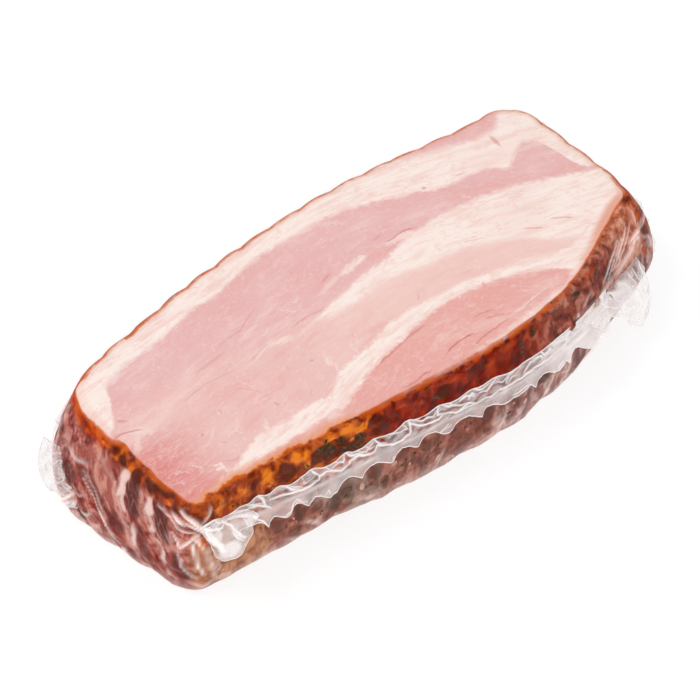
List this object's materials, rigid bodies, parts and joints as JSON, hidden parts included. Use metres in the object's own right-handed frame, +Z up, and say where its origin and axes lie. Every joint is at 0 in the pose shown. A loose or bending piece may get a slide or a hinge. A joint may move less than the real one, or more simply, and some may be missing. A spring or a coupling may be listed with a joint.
{
  "type": "vacuum-packed smoked bacon block",
  "caption": "Block of smoked bacon in tight clear vacuum film with ruffled welded seams and loose corner ears, lying cut face up.",
  "frame": {"origin": "middle of the flat underside that the pack rests on", "axes": "+X along the block's length towards the right end, -Y towards the welded front, +Z up through the cut face"},
  "size_m": [0.2469, 0.1175, 0.044],
  "materials": {
    "smoked_bacon": "pink and cream marbled cut face, smoked orange-brown rim and red-brown walls under tight glossy clear film",
    "clear_film": "clear glossy vacuum film, milky white where it is welded or creased"
  },
  "bodies": {
    "root": {"wrapped_bacon": "smoked_bacon", "front_seam": "clear_film", "right_seam": "clear_film", "back_seam": "clear_film", "front_left_ear": "clear_film", "front_right_ear": "clear_film", "back_right_ear": "clear_film", "back_left_ear": "clear_film"}
  },
  "joints": []
}
